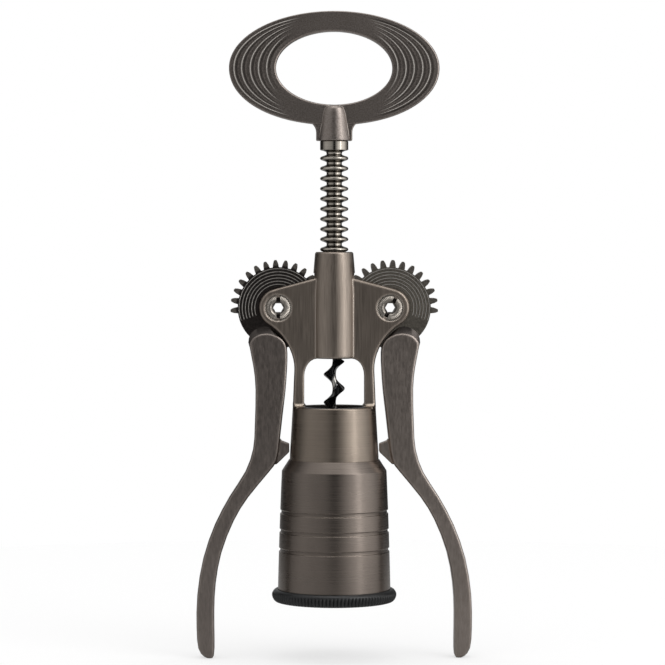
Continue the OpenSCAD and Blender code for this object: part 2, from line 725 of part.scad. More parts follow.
module gear_grooves() {
    w = 0.5;
    depth = 0.3;
    outer = gear_disc_r - 0.9;
    foot_a = -19.5;
    sweep_a = 232;
    at_pivot(1) for (i = [0:ridge_n - 1], y = [-1, 1]) let (r = outer - i * ridge_pitch)
        rotate([90, 0, 0]) rotate([0, 0, foot_a]) rotate_extrude(angle = sweep_a)
            translate([r - w / 2, y > 0 ? gear_t / 2 - depth : -gear_t / 2 - depth]) square([w, 2 * depth]);
}

module stop_lug() {
    tip_x = neck_foot_r - 0.15 + lug_gap;
    along_y(-lug_t / 2, lug_t / 2) polygon([
        [23, 64.2], [21, 63.4], [20.4, 62.7], [tip_x + 0.3, 61.7], [tip_x, 61.3], [tip_x, 58.6],
        [tip_x + 0.3, 58.1], [22.4, 53.7], [26, 53], [26, 62]
    ]);
}

module right_lever_shape() color(bronze) difference() {
    union() {
        gear_end();
        rounded_plate(lever_outline(), lever_t, lever_edge);
        hull() {
            along_y(-gear_t / 2, gear_t / 2) polygon(slope_outline());
            along_y(-lever_t / 2 + 0.4, lever_t / 2 - 0.4) polygon(crest_outline());
        }
        stop_lug();
    }
    at_pivot(1) rod_y(bush_r, -plate_t, plate_t);
    gear_grooves();
}

module right_lever() right_lever_shape();

module left_lever() mirror([1, 0, 0]) right_lever_shape();

module lever_bush(side) color(bush_bronze) at_pivot(side) difference() {
    rod_y(bush_r - seat_gap, -gear_t / 2, gear_t / 2);
    rod_y(barrel_r + running_gap, -gear_t, gear_t);
}

module left_lever_bush() lever_bush(-1);

module right_lever_bush() lever_bush(1);

// ---- pivots ---------------------------------------------------------------------------------

barrel_end_y = plate_y - flange_t - 0.3;
bolt_end_y = -plate_y + flange_t + 0.5;
nut_eye_r = 2.8;

// The nut: a flush flange in the front cheek, and the barrel that the lever turns on
module pivot_nut(side, turn) color(dark_bronze) at_pivot(side) rotate([0, turn, 0]) difference() {
    union() {
        rod_y(flange_r, -plate_y + 0.05, -plate_y + flange_t);
        rod_y(barrel_r, -plate_y + 0.1, barrel_end_y);
    }
    rod_y(nut_eye_r, -far / 2, far / 2);
    rod_y(bolt_d / 2 + running_gap, -plate_y + flange_t + 0.2, far / 2);
    for (z = [-1, 1]) translate([-notch_w / 2, -plate_y - 1, z > 0 ? nut_eye_r - 0.4 : -flange_r - 1])
        cube([notch_w, 1 + 0.65, flange_r + 1.4 - nut_eye_r]);
}

// The bolt: a flush flange in the back cheek, and a threaded shank with a hexagon right through
module pivot_bolt(side) color(dark_bronze) at_pivot(side) difference() {
    union() {
        rod_y(flange_r, plate_y - flange_t, plate_y - 0.05);
        rod_y(bolt_d / 2, bolt_end_y, plate_y - 0.1);
    }
    rod_y_hex(hex_af, -plate_t, plate_t);
}

module rod_y_hex(af, y0, y1) translate([0, y1, 0]) rotate([90, 0, 0])
    cylinder(r = af / 2 / cos(30), h = y1 - y0, $fn = 6);

right_nut_turn = 28;

module left_pivot_nut() pivot_nut(-1, 0);

module right_pivot_nut() pivot_nut(1, right_nut_turn);

module left_pivot_bolt() pivot_bolt(-1);

module right_pivot_bolt() pivot_bolt(1);

frame();
guide_bush();
bell();
lip_ring();
bell_ring();
left_pivot_nut();
right_pivot_nut();
left_pivot_bolt();
right_pivot_bolt();
rack_sleeve();
upper_bush();
lower_bush();
handle();
spindle();
worm_ferrule();
worm_pin();
worm();
left_lever();
left_lever_bush();
right_lever();
right_lever_bush();
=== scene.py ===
import json
from math import atan2, cos, hypot, pi, radians, sin

import bpy
from mathutils import Euler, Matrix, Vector


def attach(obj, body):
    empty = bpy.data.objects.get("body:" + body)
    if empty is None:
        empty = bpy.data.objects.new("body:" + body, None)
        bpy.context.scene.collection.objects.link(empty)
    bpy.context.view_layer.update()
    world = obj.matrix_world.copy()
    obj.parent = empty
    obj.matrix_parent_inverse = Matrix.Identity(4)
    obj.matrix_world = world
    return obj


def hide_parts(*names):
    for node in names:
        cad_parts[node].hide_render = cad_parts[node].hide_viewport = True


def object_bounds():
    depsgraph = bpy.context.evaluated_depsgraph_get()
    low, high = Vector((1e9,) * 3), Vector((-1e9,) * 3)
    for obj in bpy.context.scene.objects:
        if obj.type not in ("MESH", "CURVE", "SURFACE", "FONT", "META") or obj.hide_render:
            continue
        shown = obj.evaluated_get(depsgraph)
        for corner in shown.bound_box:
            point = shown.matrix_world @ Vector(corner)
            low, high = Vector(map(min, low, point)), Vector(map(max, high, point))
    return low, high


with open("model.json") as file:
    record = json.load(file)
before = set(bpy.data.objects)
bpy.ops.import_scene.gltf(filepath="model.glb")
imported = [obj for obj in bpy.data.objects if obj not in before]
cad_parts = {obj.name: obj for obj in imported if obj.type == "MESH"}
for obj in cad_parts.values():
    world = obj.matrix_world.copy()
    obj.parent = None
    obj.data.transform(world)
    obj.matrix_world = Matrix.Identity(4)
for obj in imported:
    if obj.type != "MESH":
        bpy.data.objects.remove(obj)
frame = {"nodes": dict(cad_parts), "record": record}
cad_box = [list(corner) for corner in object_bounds()]
MM = 0.001

# ---- stage: camera, floor, soft light ---------------------------------------------------------

scene = bpy.context.scene
scene.view_settings.view_transform = "Standard"

# The photograph is a square of 665 pixels, each 0.389 mm in the plane of the pivots. Places in it
# are counted in pixels from its left and top edges.
PIXEL = 0.389 * MM
FRAME_PX = 665
AXIS_PX = 334.2         # the corkscrew's axis
FOOT_PX = 602           # the underside of the bell, where z is 0
EYE_PX = 250            # the camera's height
FOCAL_PX = 2850
SENSOR = 36
YAW = radians(-1.1)

aim = Vector(((FRAME_PX / 2 - AXIS_PX) * PIXEL, 0, (FOOT_PX - FRAME_PX / 2) * PIXEL))
distance = FOCAL_PX * PIXEL
camera_data = bpy.data.cameras.new("photo_camera")
camera_data.sensor_width = SENSOR
camera_data.lens = SENSOR * FOCAL_PX / FRAME_PX
camera_data.clip_start = 0.01
camera_data.clip_end = 20
camera = bpy.data.objects.new("photo_camera", camera_data)
scene.collection.objects.link(camera)
camera.location = (aim.x + distance * sin(YAW), -distance * cos(YAW), (FOOT_PX - EYE_PX) * PIXEL)
camera.rotation_euler = (aim - camera.location).to_track_quat("-Z", "Y").to_euler()
scene.camera = camera


def linear(hexcode):
    """sRGB hex to the linear colour that a shader takes."""
    parts = [int(hexcode[i:i + 2], 16) / 255 for i in (1, 3, 5)]
    return tuple(c / 12.92 if c <= 0.04045 else ((c + 0.055) / 1.055) ** 2.4
                 for c in parts) + (1.0,)


def feed(made, inputs):
    """Sets a node's inputs, each to a value, to an output socket or to a node's first output."""
    for key, value in inputs.items():
        if isinstance(value, bpy.types.Node):
            value = value.outputs[0]
        if isinstance(value, bpy.types.NodeSocket):
            made.id_data.links.new(value, made.inputs[key])
        else:
            made.inputs[key].default_value = value


def node(tree, kind, inputs=None, stops=None, **settings):
    """Adds a node with its settings and links. The stops are a ramp's positions and grey levels.
    A Map Range's inputs are 0 its value, 1 and 2 what it maps from, and 3 and 4 what it maps to."""
    made = tree.nodes.new(kind)
    for key, value in settings.items():
        setattr(made, key, value)
    feed(made, inputs or {})
    if stops:
        elements = made.color_ramp.elements
        while len(elements) > 1:
            elements.remove(elements[-1])
        elements[0].position = stops[0][0]
        elements[0].color = (stops[0][1],) * 3 + (1,)
        for position, level in stops[1:]:
            elements.new(position).color = (level,) * 3 + (1,)
    return made


WHITE = (1, 1, 1, 1)
# What polished metal sees round the object, by bearing in degrees from the camera's side: a dark
# gap in front, a wide soft box at the right, a weaker one at the left, and dark behind
STUDIO = [(-180, 0.4), (-162, 0.28), (-150, 0.1), (-135, 0.01), (-110, 0.01), (-94, 0.34),
          (-72, 0.54), (-32, 0.42), (-16, 0.31), (-9, 0.12), (-4, 0.0), (4, 0.0), (9, 0.14),
          (16, 0.36), (25, 0.68), (38, 1.25), (50, 1.5), (52, 4.0), (56, 4.0), (58, 1.5),
          (72, 1.4), (90, 1.05), (108, 0.48), (123, 0.18), (137, 0.03), (152, 0.03), (166, 0.12),
          (180, 0.4)]
STUDIO_GAIN = 8.0       # a ramp holds levels up to 1, so they are divided by this and lit by it
# How much of the even ceiling it sees instead, from straight down at 0 to straight up at 1
CEILING_SHARE = [(0.0, 0.0), (0.5, 0.0), (0.8, 0.1), (0.94, 1.0), (1.0, 1.0)]
CEILING = (0.11, 0.11, 0.11, 1)


def make_world():
    """White to the camera, the studio to mirrors, and an even fill for the rest."""
    world = bpy.data.worlds.new("studio")
    scene.world = world
    world.use_nodes = True
    tree = world.node_tree
    tree.nodes.clear()
    way = node(tree, "ShaderNodeTexCoord").outputs["Generated"]
    split = node(tree, "ShaderNodeSeparateXYZ", {0: way}).outputs
    front = node(tree, "ShaderNodeMath", {0: split["Y"], 1: -1.0}, operation="MULTIPLY")
    bearing = node(tree, "ShaderNodeMath", {0: split["X"], 1: front}, operation="ARCTAN2")
    turn = node(tree, "ShaderNodeMapRange", {0: bearing, 1: -pi, 2: pi, 3: 0.0, 4: 1.0})
    walls = node(tree, "ShaderNodeValToRGB", {0: turn},
                 stops=[((a + 180) / 360, level / STUDIO_GAIN) for a, level in STUDIO])
    walls.color_ramp.interpolation = "EASE"
    height = node(tree, "ShaderNodeMapRange", {0: split["Z"], 1: -1.0, 2: 1.0, 3: 0.0, 4: 1.0})
    share = node(tree, "ShaderNodeValToRGB", {0: height}, stops=CEILING_SHARE)
    room = node(tree, "ShaderNodeMixRGB", {0: share, 1: walls, 2: CEILING})
    seen = node(tree, "ShaderNodeBackground", {"Color": room, "Strength": STUDIO_GAIN})
    fill = node(tree, "ShaderNodeBackground", {"Color": WHITE, "Strength": 0.9})
    plain = node(tree, "ShaderNodeBackground", {"Color": WHITE, "Strength": 1.0})
    path = node(tree, "ShaderNodeLightPath").outputs
    mirror = node(tree, "ShaderNodeMath",
                  {0: path["Is Glossy Ray"], 1: path["Is Transmission Ray"]}, operation="MAXIMUM")
    lit = node(tree, "ShaderNodeMixShader", {0: mirror, 1: fill, 2: seen})
    shown = node(tree, "ShaderNodeMixShader", {0: path["Is Camera Ray"], 1: lit, 2: plain})
    node(tree, "ShaderNodeOutputWorld", {"Surface": shown})


make_world()


def new_finish(name):
    finish = bpy.data.materials.new(name)
    finish.use_nodes = True
    tree = finish.node_tree
    return finish, tree, tree.nodes["Principled BSDF"]


floor_z = cad_box[0][2] - 0.1 * MM
bpy.ops.object.select_all(action="DESELECT")
bpy.ops.mesh.primitive_circle_add(vertices=128, radius=0.45, fill_type="NGON",
                                  location=(0, 0, floor_z))
floor = bpy.context.object
floor.name = "floor"
# A matt white board. It glows a little to the camera, so that it stays white round the shadow, and
# metal sees it dark, so that undersides keep their depth.
board, tree, shader = new_finish("matt_white_board")
feed(shader, {"Base Color": linear("#f7f7f7"), "Roughness": 0.9})
path = node(tree, "ShaderNodeLightPath").outputs
glow = node(tree, "ShaderNodeEmission", {"Color": WHITE, "Strength": 1.0})
lift = node(tree, "ShaderNodeMath", {0: path["Is Camera Ray"], 1: 0.6}, operation="MULTIPLY")
lifted = node(tree, "ShaderNodeMixShader", {0: lift, 1: shader, 2: glow})
dusk = node(tree, "ShaderNodeEmission", {"Color": WHITE, "Strength": 0.12})
dim = node(tree, "ShaderNodeMath", {0: path["Is Glossy Ray"], 1: 0.6}, operation="MULTIPLY")
dimmed = node(tree, "ShaderNodeMixShader", {0: dim, 1: lifted, 2: dusk})
feed(tree.nodes["Material Output"], {"Surface": dimmed})
floor.data.materials.append(board)

for name, place, size, watts in (("key_box", Vector((1.1, -0.9, 1.2)), 0.9, 5),
                                 ("top_box", Vector((0.0, -0.1, 1.6)), 1.0, 4)):
    light = bpy.data.lights.new(name, "AREA")
    light.shape = "SQUARE"
    light.size = size
    light.energy = watts
    lamp = bpy.data.objects.new(name, light)
    scene.collection.objects.link(lamp)
    lamp.location = place
    lamp.rotation_euler = (Vector((0, 0, 0.1)) - place).to_track_quat("-Z", "Y").to_euler()

# ---- finishes ---------------------------------------------------------------------------------


def grain(tree, spacing, detail=3.0, rough=0.6):
    """Noise whose streaks have that size along each axis, in millimetres."""
    place = node(tree, "ShaderNodeTexCoord").outputs["Object"]
    scaled = node(tree, "ShaderNodeMapping",
                  {"Vector": place, "Scale": tuple(1 / (s * MM) for s in spacing)})
    return node(tree, "ShaderNodeTexNoise",
                {"Vector": scaled, "Scale": 1.0, "Detail": detail, "Roughness": rough})


def plated(name, hexcode, worn_and_lit, roughness, streaks, streak_depth, edge=0.25, spread=0.12,
           wear_and_light=False, rubbed_rough=None, rounding=None):
    """A plated metal: streaks left by its brushing or turning, faint clouding of the plating, and
    edges drawn lighter and smoother, partly as rubbed wear and partly as painted highlight. In
    millimetres are the streaks' size along each axis, their depth, the width of a lighter edge, and
    the rounding that the light sees. When switched on, a point attribute runs from 1, a painted
    highlight, to -1, painted shade that darkens the colour."""
    finish, tree, shader = new_finish(name)
    fine = grain(tree, streaks)
    cloud = grain(tree, (9, 9, 14), 2.0, 0.5)
    soft_normal = node(tree, "ShaderNodeBevel", {"Radius": edge * MM}, samples=6)
    broad_normal = soft_normal
    if rounding:
        broad_normal = node(tree, "ShaderNodeBevel", {"Radius": rounding * MM}, samples=8)
    face_normal = node(tree, "ShaderNodeNewGeometry").outputs["Normal"]
    facing = node(tree, "ShaderNodeVectorMath", {0: soft_normal, 1: face_normal},
                  operation="DOT_PRODUCT").outputs["Value"]
    # The edges are drawn lighter: partly rubbed wear, partly painted highlight
    rubbed_and_lit = node(tree, "ShaderNodeMapRange", {0: facing, 1: 0.995, 2: 0.90, 3: 0.0, 4: 1.0})
    tone = node(tree, "ShaderNodeMapRange",
                {0: fine, 1: 0.25, 2: 0.75, 3: 1 - spread, 4: 1 + spread})
    mist = node(tree, "ShaderNodeMapRange", {0: cloud, 1: 0.3, 2: 0.7, 3: 0.94, 4: 1.05})
    shade = node(tree, "ShaderNodeMath", {0: tone, 1: mist}, operation="MULTIPLY")
    if wear_and_light:
        amount = node(tree, "ShaderNodeAttribute", attribute_name="wear_and_light").outputs["Fac"]
        rubbed_and_lit = node(tree, "ShaderNodeMath", {0: rubbed_and_lit, 1: amount}, operation="MAXIMUM")
        # A negative attribute darkens the colour: painted shade
        painted_shade = node(tree, "ShaderNodeMapRange", {0: amount, 1: -1.0, 2: 0.0, 3: 0.22, 4: 1.0})
        shade = node(tree, "ShaderNodeMath", {0: shade, 1: painted_shade}, operation="MULTIPLY")
    body = node(tree, "ShaderNodeMixRGB", {0: 1.0, 1: linear(hexcode), 2: shade},
                blend_type="MULTIPLY")
    colour = node(tree, "ShaderNodeMixRGB", {0: rubbed_and_lit, 1: body, 2: linear(worn_and_lit)})
    base_rough = node(tree, "ShaderNodeMapRange",
                      {0: fine, 1: 0.3, 2: 0.7, 3: roughness - 0.04, 4: roughness + 0.05})
    final_rough = node(tree, "ShaderNodeMapRange",
                       {0: rubbed_and_lit, 1: 0.0, 2: 1.0, 3: base_rough,
                        4: rubbed_rough or roughness * 0.75})
    bump = node(tree, "ShaderNodeBump", {"Strength": 1.0, "Distance": streak_depth * MM,
                                         "Height": fine, "Normal": broad_normal})
    feed(shader, {"Base Color": colour, "Roughness": final_rough, "Normal": bump, "Metallic": 1.0})
    return finish


# Gunmetal plating over cast zinc, brushed upright with a fine belt, which gives soft upright
# streaks. The real ones are about 0.1 mm apart and are drawn at 0.4 mm, so that they show.
brushed = plated("brushed_gunmetal_plate", "#93887e", "#ddd3c8", 0.35, (0.4, 0.4, 14), 0.005,
                 spread=0.22, rounding=1.2)
# The same, drawn pale and smooth on the upward-facing fillets at the arms' feet: a painted
# highlight
lit_fillet_plate = plated("lit_fillet_gunmetal_plate", "#bdb0a2", "#d6cabd", 0.36, (0.5, 0.5, 0.5), 0.002,
                      rounding=1.0)
# The levers wear the same plating, a shade darker and less warm, in short faint streaks
wing_plate = plated("brushed_grey_gunmetal_plate", "#8b827c", "#c9c0b8", 0.34, (0.5, 0.5, 2.5),
                    0.004, edge=0.35, spread=0.16, rounding=1.3)
# The same on the right lever, drawn a little lighter: painted light
lit_right_wing_plate = plated("lit_grey_gunmetal_plate", "#9b918a", "#c9c0b8", 0.34,
                          (0.5, 0.5, 2.5), 0.004, edge=0.35, spread=0.16, rounding=1.3)
# The handle is left as blasted: an even fine speckle, with painted highlights, pale and rough, on
# its crests and edges, and painted shade beside them
handle_plate = plated("blasted_gunmetal_plate", "#938a84", "#f4efe8", 0.34, (0.5, 0.5, 0.5), 0.008,
                      edge=0.1, spread=0.36, wear_and_light=True, rubbed_rough=0.6)
# The same plating on the turned neck and bell: fine rings from the lathe. The real ones are about
# 0.1 mm apart and are drawn at 0.35 mm.
turned = plated("turned_gunmetal_plate", "#8c8176", "#b5a797", 0.31, (30, 30, 0.35), 0.0014,
                spread=0.07)
# The bell's copy is drawn darker than the neck's: painted shade. It also carries the painted light
# of its grooves.
shaded_bell_turned = plated("shaded_turned_gunmetal_plate", "#7a716a", "#a59a90", 0.29, (30, 30, 0.35),
                     0.0012, spread=0.05, wear_and_light=True)
# Polished black nickel: the rack and the spindle mirror the studio in small hard glints. On the
# rack, painted shade darkens the flanks between the rings and the collar's underside, and painted
# highlights lighten the noses
black_nickel = plated("polished_black_nickel", "#b4ada3", "#d9d2c7", 0.12, (8, 8, 0.5), 0.0006,
                      edge=0.12, wear_and_light=True)
# Satin nickel on the pivots, with its sharp edges drawn bright as wear and painted highlight, and
# painted shade in its hollows
pivot_plate = plated("satin_nickel_plate", "#b5aea5", "#e6dfd6", 0.26, (1.2, 1.2, 1.2), 0.004,
                     edge=0.12, spread=0.3, wear_and_light=True)
# The same gunmetal, blasted and drawn dark as painted shade on the upward-facing slope behind a
# lever's top
shaded_shoulder_plate = plated("shaded_blasted_plate", "#504b48", "#8a837c", 0.4, (0.5, 0.5, 0.5), 0.004,
                        edge=0.1)
# Gunmetal drawn near black in holes and under edges as painted shade: nearly no glint
shaded_recess = plated("shaded_recess_plate", "#2e2a28", "#4a4541", 0.4, (0.6, 0.6, 0.6), 0.004, edge=0.08)
# Sintered bronze in the bushes: dull brown gold with fine pores
bush_bronze = plated("sintered_bronze", "#a0814e", "#c7a872", 0.4, (0.3, 0.3, 0.3), 0.003,
                     edge=0.1)

# The levers' pivots and the concentric grooves in the faces of their toothed discs, in mm
PIVOT_X = 21.75
PIVOT_Z = 114.5
GROOVE_R = 14.85        # the outermost groove
GROOVE_PITCH = 1.22
GROOVES = 6
GROOVE_END = -19.5      # degrees from the level of the pivot
TOOTH_ROOT = (16.1, 16.7)
# How much painted highlight the disc has, from a groove's middle, at 0, to the next one out, at 1
GROOVE_LIP_HIGHLIGHT = [(0.0, 0.0), (0.16, 0.0), (0.22, 1.0), (0.36, 1.0), (0.46, 0.0), (1.0, 0.0)]


def gear_finish(side):
    """Black plating on a toothed disc, drawn lighter on the right one as painted light. The outer
    lip of each groove and the edges of the teeth get painted highlights in a pale metal colour."""
    finish, tree, shader = new_finish("black_plated_gear_painted_light_" + ("left" if side < 0 else "right"))
    place = node(tree, "ShaderNodeTexCoord").outputs["Object"]
    centred = node(tree, "ShaderNodeMapping",
                   {"Vector": place, "Location": (-side * PIVOT_X * MM, 0, -PIVOT_Z * MM)})
    flat = node(tree, "ShaderNodeVectorMath", {0: centred, 1: (1 / MM, 0, 1 / MM)},
                operation="MULTIPLY")
    reach = node(tree, "ShaderNodeVectorMath", {0: flat}, operation="LENGTH").outputs["Value"]
    parts = node(tree, "ShaderNodeSeparateXYZ", {0: flat}).outputs
    out = node(tree, "ShaderNodeMath", {0: parts["X"], 1: float(side)}, operation="MULTIPLY")
    bearing = node(tree, "ShaderNodeMath", {0: parts["Z"], 1: out}, operation="ARCTAN2")

    step = node(tree, "ShaderNodeMath", {0: reach, 1: GROOVE_R}, operation="SUBTRACT")
    step = node(tree, "ShaderNodeMath", {0: step, 1: GROOVE_PITCH}, operation="DIVIDE")
    phase = node(tree, "ShaderNodeMath", {0: step}, operation="FRACT")
    lip_highlight = node(tree, "ShaderNodeValToRGB", {0: phase}, stops=GROOVE_LIP_HIGHLIGHT)
    inside = node(tree, "ShaderNodeMath", {0: reach, 1: GROOVE_R + 0.6}, operation="LESS_THAN")
    beyond = node(tree, "ShaderNodeMath", {0: reach, 1: GROOVE_R - (GROOVES - 0.6) * GROOVE_PITCH},
                  operation="GREATER_THAN")
    above = node(tree, "ShaderNodeMapRange", {0: bearing, 1: radians(GROOVE_END),
                                              2: radians(GROOVE_END + 1.5), 3: 0.0, 4: 1.0})
    fine = grain(tree, (0.5, 0.5, 0.5))
    worn_and_lit = node(tree, "ShaderNodeMapRange", {0: fine, 1: 0.3, 2: 0.7, 3: 0.75, 4: 1.0})
    for limit in (inside, beyond, above, worn_and_lit):
        lip_highlight = node(tree, "ShaderNodeMath", {0: lip_highlight, 1: limit}, operation="MULTIPLY")

    toothed = node(tree, "ShaderNodeMapRange",
                   {0: reach, 1: TOOTH_ROOT[0], 2: TOOTH_ROOT[1], 3: 0.0, 4: 1.0})
    # Painted highlights on the edges of the teeth
    round_normal = node(tree, "ShaderNodeBevel", {"Radius": 0.3 * MM}, samples=6)
    face_normal = node(tree, "ShaderNodeNewGeometry").outputs["Normal"]
    facing = node(tree, "ShaderNodeVectorMath", {0: round_normal, 1: face_normal},
                  operation="DOT_PRODUCT").outputs["Value"]
    rubbed_and_lit = node(tree, "ShaderNodeMapRange", {0: facing, 1: 0.97, 2: 0.85, 3: 0.0, 4: 1.0})
    rubbed_and_lit = node(tree, "ShaderNodeMath", {0: rubbed_and_lit, 1: toothed}, operation="MULTIPLY")
    lip_highlight = node(tree, "ShaderNodeMath", {0: lip_highlight, 1: rubbed_and_lit}, operation="MAXIMUM")

    # The right disc is drawn lighter than the left: painted light
    face = linear("#433e3c" if side < 0 else "#888279")
    disc = node(tree, "ShaderNodeMixRGB", {0: toothed, 1: face, 2: linear("#8f8982")})
    mottle = node(tree, "ShaderNodeMapRange", {0: fine, 1: 0.3, 2: 0.7, 3: 0.8, 4: 1.2})
    disc = node(tree, "ShaderNodeMixRGB", {0: 1.0, 1: disc, 2: mottle}, blend_type="MULTIPLY")
    colour = node(tree, "ShaderNodeMixRGB", {0: lip_highlight, 1: disc, 2: linear("#f0ebe4")})
    gloss = node(tree, "ShaderNodeMapRange", {0: fine, 1: 0.3, 2: 0.7, 3: 0.28, 4: 0.38})
    soft = node(tree, "ShaderNodeBevel", {"Radius": 0.1 * MM}, samples=4)
    bump = node(tree, "ShaderNodeBump",
                {"Strength": 1.0, "Distance": 0.004 * MM, "Height": fine, "Normal": soft})
    feed(shader, {"Base Color": colour, "Roughness": gloss, "Normal": bump, "Metallic": 1.0})
    return finish


def moulded(name, hexcode, roughness, pore, depth, specular=0.5, bare=None):
    """A moulded rubber or plastic, or a coating, with its fine texture. Where the wear attribute
    is 1 a coating is rubbed through to the bare metal."""
    finish, tree, shader = new_finish(name)
    fine = grain(tree, (pore, pore, pore), 4.0)
    cloud = grain(tree, (6, 6, 6), 2.0, 0.5)
    tone = node(tree, "ShaderNodeMapRange", {0: cloud, 1: 0.3, 2: 0.7, 3: 0.8, 4: 1.25})
    body = node(tree, "ShaderNodeMixRGB", {0: 1.0, 1: linear(hexcode), 2: tone},
                blend_type="MULTIPLY")
    if bare:
        amount = node(tree, "ShaderNodeAttribute", attribute_name="wear_and_light").outputs["Fac"]
        body = node(tree, "ShaderNodeMixRGB", {0: amount, 1: body, 2: linear(bare)})
        feed(shader, {"Metallic": amount})
    gloss = node(tree, "ShaderNodeMapRange",
                 {0: fine, 1: 0.3, 2: 0.7, 3: roughness - 0.06, 4: roughness + 0.06})
    bump = node(tree, "ShaderNodeBump", {"Strength": 1.0, "Distance": depth * MM, "Height": fine})
    feed(shader, {"Base Color": body, "Roughness": gloss, "Normal": bump,
                  "Specular IOR Level": specular})
    return finish


# Moulded black nitrile rubber, dull with a faint sheen where it is handled
rubber = moulded("moulded_black_rubber", "#191a1b", 0.36, 0.5, 0.006, 0.45)
# Moulded black acetal: a plain dark liner, slightly waxy
acetal = moulded("moulded_black_acetal", "#222224", 0.38, 0.8, 0.006)
# Black non-stick coating baked on the steel worm, glossy, and rubbed bright along the core
worm_coat = moulded("baked_black_coating", "#08080a", 0.12, 1.5, 0.0, 1.0, "#c4c1bb")

# ---- pieces carried over from the CAD model ---------------------------------------------------

BODY_OF = {name: body for body, names in frame["record"]["behaviour"]["bodies"].items()
           for name in names}


def pick(piece):
    """Makes a piece the only one selected, and the active one."""
    bpy.ops.object.select_all(action="DESELECT")
    bpy.context.view_layer.objects.active = piece
    piece.select_set(True)


def carried(piece, cad_node, finish):
    """Gives a piece its finish, and lets it stand for a CAD node on that node's body."""
    piece.data.materials.clear()
    piece.data.materials.append(finish)
    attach(piece, BODY_OF[cad_node])
    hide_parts(cad_node)
    return piece


def other_finish(piece, finish, belongs):
    """Gives another finish to the faces that pass a test of their middle's x, y and z, in
    millimetres, and of how far they face up."""
    piece.data.materials.append(finish)
    for face in piece.data.polygons:
        if belongs(*(c / MM for c in face.center), face.normal.z):
            face.material_index = len(piece.data.materials) - 1


def even_shading(piece, crease):
    """Smooth shading up to the crease angle, led by the larger faces."""
    pick(piece)
    bpy.ops.object.shade_smooth_by_angle(angle=radians(crease))
    piece.modifiers.new("even", "WEIGHTED_NORMAL").keep_sharp = True
    bpy.ops.object.modifier_apply(modifier="even")


def dressed(cad_node, name, finish):
    """A merged copy of a CAD node's mesh, with smooth shading across its facets."""
    mesh = frame["nodes"][cad_node].data.copy()
    mesh.name = name
    piece = bpy.data.objects.new(name, mesh)
    scene.collection.objects.link(piece)
    pick(piece)
    if mesh.has_custom_normals:
        bpy.ops.mesh.customdata_custom_splitnormals_clear()
    bpy.ops.object.mode_set(mode="EDIT")
    bpy.ops.mesh.select_all(action="SELECT")
    bpy.ops.mesh.remove_doubles(threshold=0.002 * MM)
    bpy.ops.mesh.dissolve_limited(angle_limit=radians(0.3))
    bpy.ops.object.mode_set(mode="OBJECT")
    even_shading(piece, 30)
    return carried(piece, cad_node, finish)


NECK_TOP = 76.0         # the round edge that the arms stand on
NECK_BORE = 13.0
FILLET_TOP = 78.6
DISC_Y = 2.32           # half the thickness of a toothed disc
SLOPE_Y = 3.9
SLOPE_Z = 99

casting = dressed("frame", "frame_casting", brushed)
other_finish(casting, turned, lambda x, y, z, up: z < NECK_TOP + 0.3)
# Painted shade: the upward face at the top of the neck and the bore below it, drawn near black
other_finish(casting, shaded_recess, lambda x, y, z, up: (abs(z - NECK_TOP) < 0.1 and up > 0.9)
             or (z < NECK_TOP and hypot(x, y) < NECK_BORE))
# Painted highlight on the upward-facing fillets at the arms' feet
other_finish(casting, lit_fillet_plate,
             lambda x, y, z, up: NECK_TOP + 0.1 < z < FILLET_TOP and up > 0.2)
dressed("guide_bush", "guide_liner", acetal)
dressed("lip_ring", "lip_seat", acetal)
dressed("upper_bush", "spindle_bush_top", bush_bronze)
dressed("lower_bush", "spindle_bush_foot", bush_bronze)
dressed("spindle", "spindle_rod", black_nickel)
dressed("worm_ferrule", "ferrule", worm_coat)
dressed("worm_pin", "cross_pin", black_nickel)
for side, name, plate in ((-1, "left", wing_plate), (1, "right", lit_right_wing_plate)):
    bolt = dressed(name + "_pivot_bolt", name + "_bolt", pivot_plate)
    # The walls of the key's hole, drawn dark as painted shade
    other_finish(bolt, shaded_recess, lambda x, y, z, up: -2.9 < y < 3.4)
    dressed(name + "_lever_bush", name + "_pivot_bush", bush_bronze)
    wing = dressed(name + "_lever", name + "_wing", plate)
    other_finish(wing, gear_finish(side), lambda x, y, z, up:
                 abs(y) < DISC_Y and hypot(abs(x) - PIVOT_X, z - PIVOT_Z) < 20)
    # The slope between the disc and the top of the wing, drawn dark: painted shade
    other_finish(wing, shaded_shoulder_plate, lambda x, y, z, up:
                 DISC_Y - 0.07 < abs(y) < SLOPE_Y and z > SLOPE_Z and up > 0.15)

# ---- pieces modelled here ---------------------------------------------------------------------


def tighten(fill=False):
    """Merges the doubled points of the active piece, and turns its faces outwards."""
    bpy.ops.object.mode_set(mode="EDIT")
    bpy.ops.mesh.select_all(action="SELECT")
    bpy.ops.mesh.remove_doubles(threshold=0.0005 * MM)
    if fill:
        bpy.ops.mesh.fill_holes(sides=0)
    bpy.ops.mesh.normals_make_consistent(inside=False)
    bpy.ops.object.mode_set(mode="OBJECT")


